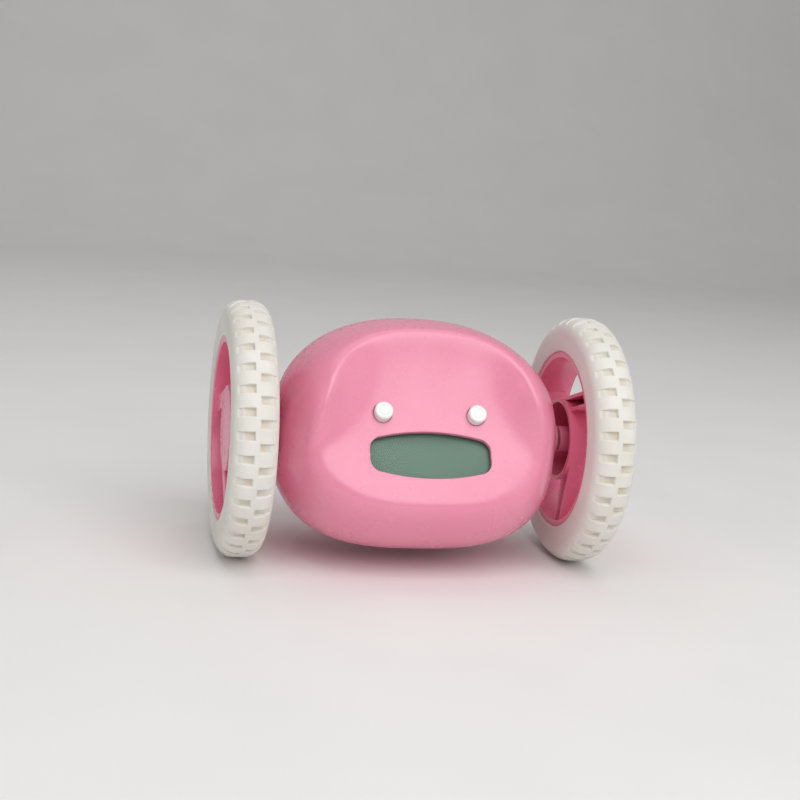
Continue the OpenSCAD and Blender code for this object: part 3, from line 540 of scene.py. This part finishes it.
def laid_skin(points, faces, skin):
    """Points and small triangles of the skin facets, laid on the formula but for their cut edges."""
    # an edge used by one skin facet only is a cut edge, and the points on it stay
    pairs = np.sort(faces[skin][:, [[0, 1], [1, 2], [2, 0]]], -1)
    key = pairs[..., 0].astype(np.int64) * len(points) + pairs[..., 1]
    _, where, uses = np.unique(key, return_inverse=True, return_counts=True)
    cut_edge = (uses[where] == 1).reshape(-1, 3)
    fine, small, shares = split_triangles(points[faces[skin]], SPLIT)
    # a point without a share of corner 2 lies on the edge 0-1, and so on
    on_edge = shares[:, [2, 0, 1]] == 0
    fixed = (cut_edge[:, None, :] & on_edge[None]).any(2)
    rim_point = np.zeros(len(points), bool)
    rim_point[pairs.reshape(-1, 2)[cut_edge.reshape(-1)].ravel()] = True
    corner = shares.max(1) == 1
    which = shares.argmax(1)
    fixed[:, corner] |= rim_point[faces[skin]][:, which[corner]]
    fine = fine.reshape(-1, 3)
    laid = onto_casing(fine, casing_normal(fine))
    # smooth travel only: a cut edge's own points and anything that would move far stay
    stay = fixed.reshape(-1) | (np.linalg.norm(laid - fine, axis=1) > FARTHEST)
    return np.where(stay[:, None], fine, laid), small.reshape(-1, 3)


def shade_skin(mesh):
    """Give each corner of the skin the formula's own normal."""
    corners = read(mesh.corner_normals, "vector", 3)
    used = read(mesh.loops, "vertex_index", 1, np.int32).ravel()
    place = read(mesh.vertices, "co", 3) / MM - [0, 0, AXLE]
    is_skin = read(mesh.attributes["skin"].data, "value", 1, np.int32).ravel()
    of_skin = np.repeat(is_skin, 3).astype(bool)
    corners[of_skin] = casing_normal(place[used[of_skin]])
    mesh.normals_split_custom_set(corners.tolist())


def smooth_shell(node_name, name, body):
    """A copy of a CAD shell with its outer facets split and laid on the casing's formula."""
    points, faces, flat = triangles_of(node_name, name)
    normal = casing_normal(points)
    near = np.linalg.norm(onto_casing(points, normal) - points, axis=1) < NEAR
    agrees = (np.einsum("fcd,fd->fc", normal[faces], flat) > AGREES).all(1)
    skin = near[faces].all(1) & agrees
    fine, small = laid_skin(points, faces, skin)
    every = np.concatenate([fine, points]) + [0, 0, AXLE]
    tris = np.concatenate([small, faces[~skin] + len(fine)])
    mesh = bpy.data.meshes.new(name)
    mesh.from_pydata((every * MM).tolist(), [], tris.tolist())
    mesh.polygons.foreach_set("use_smooth", np.ones(len(tris), bool))
    is_skin = (np.arange(len(tris)) < len(small)).astype(np.int32)
    mesh.attributes.new("skin", "INT", "FACE").data.foreach_set("value", is_skin)
    work = bmesh.new()
    work.from_mesh(mesh)
    bmesh.ops.remove_doubles(work, verts=work.verts, dist=MERGE_SKIN)
    loose = [v for v in work.verts if not v.link_faces]
    bmesh.ops.delete(work, geom=loose, context="VERTS")
    work.to_mesh(mesh)
    work.free()
    mesh.set_sharp_from_angle(angle=math.radians(SHARP))
    mesh.update()
    shade_skin(mesh)
    print(f"{name}: {skin.sum()} of {len(faces)} facets are outside")
    piece(name, mesh, pink_abs, body, node_name)


smooth_shell("front_shell", "front_casing", "casing")
smooth_shell("rear_shell", "rear_casing", "casing")
smooth_shell("battery_door", "door_cover", "door")


# %% [markdown]
# ## Wheels
# A wheel is a pink rim moulded in one piece, with a rubber tyre stretched over it.
# The rim's round parts are turned profiles with rounded corners. The tyre is one
# grid round the wheel: its rows follow the section, its columns crowd at the edges
# of the slots, and the slots are a drop in radius.

# %% Profiles and lathes
WHEEL_MIDDLE = 61.5  # mm from the clock's middle to a wheel's


def rounded(points, radii, steps=4):
    """A closed outline with round corners: each corner becomes an arc that touches both its sides."""
    points = np.asarray(points, float)
    out = []
    for i, radius in enumerate(radii):
        a, b, c = points[i - 1], points[i], points[(i + 1) % len(points)]
        if radius == 0:
            out.append(b[None])
            continue
        u, v = (a - b) / np.linalg.norm(a - b), (c - b) / np.linalg.norm(c - b)
        half = math.acos(np.clip(u @ v, -1, 1)) / 2
        middle = b + (u + v) / np.linalg.norm(u + v) * radius / math.sin(half)
        start = b + u * radius / math.tan(half) - middle
        end = b + v * radius / math.tan(half) - middle
        t = np.linspace(0, 1, steps + 1)[:, None]
        arc = math.pi - 2 * half
        out.append(middle + (np.sin((1 - t) * arc) * start + np.sin(t * arc) * end) / math.sin(arc))
    return np.concatenate(out)


def wheel_point(side, radius, across, angle):
    """Points of a wheel in mm: across is outward from its middle, angle from below to the back."""
    x = side * (WHEEL_MIDDLE + across)
    y, z = radius * np.sin(angle), AXLE - radius * np.cos(angle)
    return np.stack(np.broadcast_arrays(x, y, z), -1)


def turned(side, profile, columns):
    """A closed profile of (radius, across) turned about the axle: points and quads."""
    angle = np.linspace(0, 2 * np.pi, columns, endpoint=False)
    grid = wheel_point(side, profile[:, 0][:, None], profile[:, 1][:, None], angle[None])
    return grid.reshape(-1, 3), grid_quads(len(profile), columns, True, True)


def smooth(mesh, angle=30):
    """Smooth shading but for edges sharper than the angle."""
    mesh.polygons.foreach_set("use_smooth", np.ones(len(mesh.polygons), bool))
    mesh.set_sharp_from_angle(angle=math.radians(angle))
    mesh.update()
    return mesh


# %% Rims
RIM_HALF, FLANGE_IN = 7, 6.3  # half the rim's width, and where its flanges begin
BARREL_IN, BARREL_OUT, FLANGE = 29.8, 31, 32  # radii
BORE, AXLE_SEAT, BOSS = 1.5, 3.2, 4.6
HUB, HUB_IN, WEB_IN, WEB_OUT = 15.0, 13.4, 3.9, 5.5
SPOKES, SPOKE_OFF, SPOKE_HALF, SPOKE_WALL, SPOKE_TURN = 3, 11.7, 3.0, 1.4, 109
SPOKE_FOOT, SPOKE_TOP = -5.8, WEB_OUT - 0.2
SPOKE_FROM, SPOKE_TO = 14.2, 30.4  # radii within the hub ring and within the barrel


def barrel_profile():
    """The barrel's wall with a flange at each end, as (radius, across)."""
    half = [(BARREL_OUT, FLANGE_IN), (FLANGE, FLANGE_IN), (FLANGE, RIM_HALF), (BARREL_IN, RIM_HALF)]
    inner_half = [(r, -t) for r, t in half[::-1]]
    return rounded(inner_half + half, [0.4, 0.25, 0.2, 0.1, 0.1, 0.2, 0.25, 0.4])


def hub_profile():
    """The hub: boss around the axle, ring, and the plain end that closes both, as (radius, across)."""
    boss = [(BORE, -RIM_HALF), (BOSS, -RIM_HALF), (BOSS, WEB_IN)]
    ring = [(HUB_IN, WEB_IN), (HUB_IN, -RIM_HALF), (HUB, -RIM_HALF), (HUB, WEB_OUT)]
    end = [(0, WEB_OUT), (0, AXLE_SEAT), (BORE, AXLE_SEAT)]
    return rounded(boss + ring + end, [0, 0.2, 0.2, 0.2, 0.2, 0.2, 0.6, 0, 0, 0])


def spoke_section():
    """A spoke's section, a channel that opens to the casing, as (off its middle, across)."""
    outer, inner = SPOKE_HALF, SPOKE_HALF - SPOKE_WALL
    channel = [(-outer, SPOKE_FOOT), (-inner, SPOKE_FOOT), (-inner, WEB_IN)]
    channel += [(inner, WEB_IN), (inner, SPOKE_FOOT), (outer, SPOKE_FOOT)]
    channel += [(outer, SPOKE_TOP), (-outer, SPOKE_TOP)]
    return rounded(channel, [0.2, 0.2, 0.3, 0.3, 0.2, 0.2, 0.5, 0.5])


def rim(side, name, body, node_name):
    """Barrel and hub turned about the axle, and three channels that run off the side of the hub."""
    points, quads, caps, start = [], [], [], 0
    for profile, columns in ((barrel_profile(), 240), (hub_profile(), 160)):
        p, q = turned(side, profile, columns)
        points.append(p)
        quads.append(q + start)
        start += len(p)
    section = spoke_section()
    count = len(section)
    off = (SPOKE_OFF + section[:, 0])[None]
    # each edge of the channel starts and ends on a circle about the axle: x^2 + y^2 = r^2
    reach = np.array([[SPOKE_FROM], [SPOKE_TO]])
    along = side * np.sqrt(np.maximum(0, reach**2 - off**2))
    x = side * (WHEEL_MIDDLE + section[:, 1][None] + 0 * along)
    for k in range(SPOKES):
        turn = math.radians(270 - SPOKE_TURN + 360 / SPOKES * k)
        down = off * math.cos(turn) - along * math.sin(turn)
        y = off * math.sin(turn) + along * math.cos(turn)
        points.append(np.stack([x, y, AXLE - down], -1).reshape(-1, 3))
        quads.append(grid_quads(2, count, False, True, start))
        caps += [list(range(end, end + count)) for end in (start, start + count)]
        start += 2 * count
    mesh = outwards(mesh_of(name, np.concatenate(points), np.concatenate(quads), caps))
    piece(name, smooth(mesh), rim_abs, body, node_name)


rim(-1, "left_wheel_rim", "left_wheel", "left_rim")
rim(1, "right_wheel_rim", "right_wheel", "right_rim")

# %% Tyres
SLOTS, SLOT_HALF, SLOT_FLOOR, RIB_HALF = 36, 1.4, 43.0, 0.85
FLAT_HALF, SHOULDER, TOP, HALF = 1.8, 38.5, 44.5, 7.5
LIP_ROUND, FOOT_ROUND = 0.35, 0.3
SLOT_AT = 44  # radius at which a slot's width is measured
PITCH = math.radians(10)  # from one slot of a row to the next; the other row is half of it on
NOTCH, NOTCH_END, NOTCH_FADE = 0.65, 6.6, 0.9  # depth of a slot's outer end, its end and its fading
WALL_ROWS = np.array([0.01, 0.04, 0.1, 0.2, 0.3]) / 0.3  # shares of a rounding's radius
BEAD = [(36, HALF), (33.5, HALF), (32.5, HALF), (32.15, 7.42), (32.05, 7.2)]
SEAT = [(32.05, 6.25), (31.05, 6.25), (31.05, 2)]  # on the rim's flange and barrel


def arc_drop(reach, radius):
    """How far an arc is from its tangent, reach on from their touch: r - root(r^2 - reach^2)."""
    return radius - np.sqrt(np.maximum(0, radius**2 - np.clip(reach, 0, radius) ** 2))


def slot_drop(inside, depth):
    """Drop of the tread by the distance inside a slot's outline: round lip, wall, round foot, floor."""
    lip = arc_drop(inside + LIP_ROUND, LIP_ROUND)
    foot = arc_drop(FOOT_ROUND - inside, FOOT_ROUND)
    return np.where(inside < 0, np.minimum(lip, depth), depth - np.minimum(foot, depth))


def tyre_section(wall):
    """Half the section and its mirror image: flat crown, quarter ellipse, side wall, bead and seat."""
    crown = np.concatenate([[0, 0.3], RIB_HALF + wall, [1.5, FLAT_HALF]])
    q = np.radians(np.linspace(90, 0, 25))[1:]
    fall, side_way = (TOP - SHOULDER) * np.sin(q), (HALF - FLAT_HALF) * np.cos(q)
    shoulder = np.stack([SHOULDER + fall, FLAT_HALF + side_way], -1)
    top = np.stack([np.full(len(crown), TOP), crown], -1)
    outer = np.concatenate([top, shoulder, BEAD, SEAT])
    return np.concatenate([outer[::-1], (outer * [1, -1])[1:]])


def tyre_angles(wall):
    """The columns' angles, crowded at the walls of the slots of both rows."""
    around_slot = np.concatenate([[0, 0.5], SLOT_HALF - wall[::-1]])
    first = np.concatenate([-around_slot[:0:-1], around_slot])
    columns = np.unique(np.round(np.concatenate([first, PITCH / 2 * SLOT_AT + first]), 4))
    angle = (columns[None] / SLOT_AT + PITCH * np.arange(SLOTS)[:, None]).ravel()
    return np.sort(angle % (2 * np.pi))


def tyre(side, name, body, node_name):
    """The section carried round the wheel, less the slots, which are cut down to one radius."""
    wall = np.concatenate([-WALL_ROWS[::-1] * LIP_ROUND, WALL_ROWS * FOOT_ROUND])
    angle = tyre_angles(wall)[None]
    section = tyre_section(wall)
    radius = section[:, 0][:, None] + 0 * angle
    across = section[:, 1][:, None] + 0 * angle
    phase = np.where(across > 0, 0.0, PITCH / 2)
    turn = (angle - phase + PITCH / 2) % PITCH - PITCH / 2
    inside = np.minimum(SLOT_HALF - np.abs(turn) * SLOT_AT, np.abs(across) - RIB_HALF)
    full = TOP - SLOT_FLOOR
    # past the floor's radius the slot goes on as a shallow notch, and it fades out at the side wall
    notch = NOTCH * np.clip((NOTCH_END - np.abs(across)) / NOTCH_FADE, 0, 1)
    spare = np.maximum(notch, radius - SLOT_FLOOR)
    whole = slot_drop(inside, full)
    drop = np.where(inside >= 0, np.minimum(whole, spare), whole * spare / full)
    grid = wheel_point(side, radius - drop, across, angle)
    mesh = mesh_of(name, grid.reshape(-1, 3), grid_quads(len(section), angle.size, True, True))
    # painted shade in the slots: the depth share that darkens and warms the rubber's colour
    shade = np.where(inside > 0.1, np.clip(drop / full, 0, 1), 0)
    mesh.attributes.new("slot", "FLOAT", "POINT").data.foreach_set("value", shade.ravel())
    piece(name, smooth(outwards(mesh), 60), tyre_rubber, body, node_name)


tyre(-1, "left_wheel_tyre", "left_wheel", "left_tyre")
tyre(1, "right_wheel_tyre", "right_wheel", "right_tyre")


# %% [markdown]
# ## Eye buttons
# Each eye is a push button: a turned head with a round edge and a shallow ring in its
# top, a thinner stem behind it, and a bar that keeps it from falling out. The button's
# place follows the face that it stands on, and its length reaches to the switch behind.

# %% Eye buttons
LEAN = math.radians(34)  # of the face's middle and of the buttons' axes
EYE_ASIDE, EYE_HEIGHT = 16.5, 12.1  # mm from the clock's middle and above the axle
DISPLAY_HEIGHT = -1.5  # of the display's middle, from the axle; the face's plane goes through it
BOARD_FRONT = -8.6  # front of the main board, from the face's plane
SWITCH, DOME, PRESS, PLAY = 1.8, 0.7, 0.8, 0.06  # what lies between board and button
HEAD, STEM, STEM_END, EYE_RISE = 3.2, 2.2, -3.4, 2.6  # radii, and heights over the button's foot
BAR_LONG, BAR_WIDE, BAR_TOP = 4.2, 1.2, -5.2  # halves of the bar's length and width, and its top


def eye_profile(inner):
    """Stem, head with a round edge and the ring in its top, as (radius, height over the face)."""
    stem = [(0, inner), (STEM, inner), (STEM, STEM_END)]
    head = [(HEAD, STEM_END), (HEAD, EYE_RISE)]
    ring = [(1.95, 2.68), (1.75, 2.5), (1.55, 2.69)]
    return rounded(stem + head + ring + [(0, 2.72)], [0, 0.2, 0, 0.2, 0.75, 0.1, 0.1, 0.1, 0], 8)


def eye_button(side, name, body, node_name):
    """A profile turned about an axis that leans back with the face, and the bar behind the casing."""
    foot = float(face_at(EYE_ASIDE, EYE_HEIGHT))
    across = np.array([1, 0, 0])
    out = np.array([0, -math.cos(LEAN), math.sin(LEAN)])
    up = np.array([0, math.sin(LEAN), math.cos(LEAN)])
    centre = np.array([side * EYE_ASIDE, -foot, EYE_HEIGHT + AXLE])
    # how far the foot stands over the face's plane, which leans as the button's axis does
    above, ahead = EYE_HEIGHT - DISPLAY_HEIGHT, foot - float(hollow(DISPLAY_HEIGHT))
    rise = above * math.sin(LEAN) + ahead * math.cos(LEAN)
    inner = BOARD_FRONT + SWITCH + DOME + PRESS + PLAY - rise
    profile = eye_profile(inner)
    angle = np.linspace(0, 2 * np.pi, 96, endpoint=False)
    r, t = profile[:, 0][:, None, None], profile[:, 1][:, None, None]
    way = np.cos(angle)[:, None] * across + np.sin(angle)[:, None] * up
    head = (centre + t * out + r * way[None]).reshape(-1, 3)
    spans = (-BAR_LONG, BAR_LONG), (-BAR_WIDE, BAR_WIDE), (inner, BAR_TOP)
    corner = np.stack(np.meshgrid(*spans, indexing="ij"), -1).reshape(-1, 3)
    bar = centre + corner[:, :1] * across + corner[:, 1:2] * up + corner[:, 2:] * out
    box = [(0, 1, 3, 2), (4, 6, 7, 5), (0, 4, 5, 1), (2, 3, 7, 6), (0, 2, 6, 4), (1, 5, 7, 3)]
    quads = grid_quads(len(profile), len(angle), False, True)
    faces = [[n + len(head) for n in f] for f in box]
    mesh = mesh_of(name, np.concatenate([head, bar]), quads, faces)
    piece(name, smooth(outwards(mesh), 40), white_abs, body, node_name)


eye_button(-1, "left_eye_cap", "left_eye", "left_eye_button")
eye_button(1, "right_eye_cap", "right_eye", "right_eye_button")


# %% [markdown]
# ## The studio
# The photograph's own surroundings aren't part of the clock. A pale sweep, flat under
# the clock and curved up behind it, stands in for them, with a large soft light above
# and in front, as in the photograph, and weaker ones that fill the shadows.

# %% Sweep
FLOOR_HALF, WALL_AT, BEND, WALL_TOP = 2500.0, 1400, 500, 3000  # mm


def sweep():
    """A floor that turns up into a wall by a quarter circle, as one grid."""
    bend = np.radians(np.linspace(0, 90, 25))
    y = np.concatenate([[-FLOOR_HALF, 0], WALL_AT - BEND + BEND * np.sin(bend), [WALL_AT]])
    z = np.concatenate([[0, 0], BEND - BEND * np.cos(bend), [WALL_TOP]])
    x = np.array([-FLOOR_HALF, FLOOR_HALF])
    grid = np.stack(np.broadcast_arrays(x[None], y[:, None], z[:, None]), -1)
    return mesh_of("sweep", grid.reshape(-1, 3), grid_quads(len(y), 2)[:, ::-1])


paper, shader = new_finish("pale seamless paper", Roughness=0.85, Specular_IOR_Level=0.2)
fibre = noise(paper, 60, 3)
tint = mixed(paper, spread(paper, fibre, 0.3, 0.7, 0, 1), "#F1F0EE", "#EEEDEB")
link_to(paper, tint, shader, "Base Color")
floor = bpy.data.objects.new("sweep", smooth(sweep()))
floor.data.materials.append(paper)
bpy.context.scene.collection.objects.link(floor)


# %% Lights
def softbox(name, place, width, height, power):
    """A white oval area light, sizes in mm and power in watts, that faces the middle of the clock."""
    lamp = bpy.data.lights.new(name, "AREA")
    lamp.shape = "ELLIPSE"
    lamp.size = width * MM
    lamp.size_y = height * MM
    lamp.energy = power
    holder = bpy.data.objects.new(name, lamp)
    way = np.array(place, float) - np.array([0, 0, AXLE])
    way /= np.linalg.norm(way)
    side = np.cross([0, 0, 1], way)
    side /= np.linalg.norm(side)
    stand(holder, side, np.cross(way, side), way, place)


softbox("key", (130, -720, 820), 1000, 1200, 7.8)
softbox("left", (-800, -350, 400), 800, 700, 1.2)
softbox("right", (800, -400, 350), 800, 700, 0.85)
softbox("top", (0, 300, 1000), 1200, 800, 2.0)
softbox("glint", (-260, -420, 900), 90, 90, 0.3)
world = bpy.data.worlds.new("room")
world.use_nodes = True
room = world.node_tree.nodes["Background"]
room.inputs["Color"].default_value = linear("#F4F4F6")
room.inputs["Strength"].default_value = 0.23
bpy.context.scene.world = world
bpy.context.scene.view_settings.view_transform = "Standard"
lamps = [o for o in bpy.context.scene.objects if o.type == "LIGHT"]
print("lights:", ", ".join(f"{o.name} {o.data.energy:.2f} W" for o in lamps))
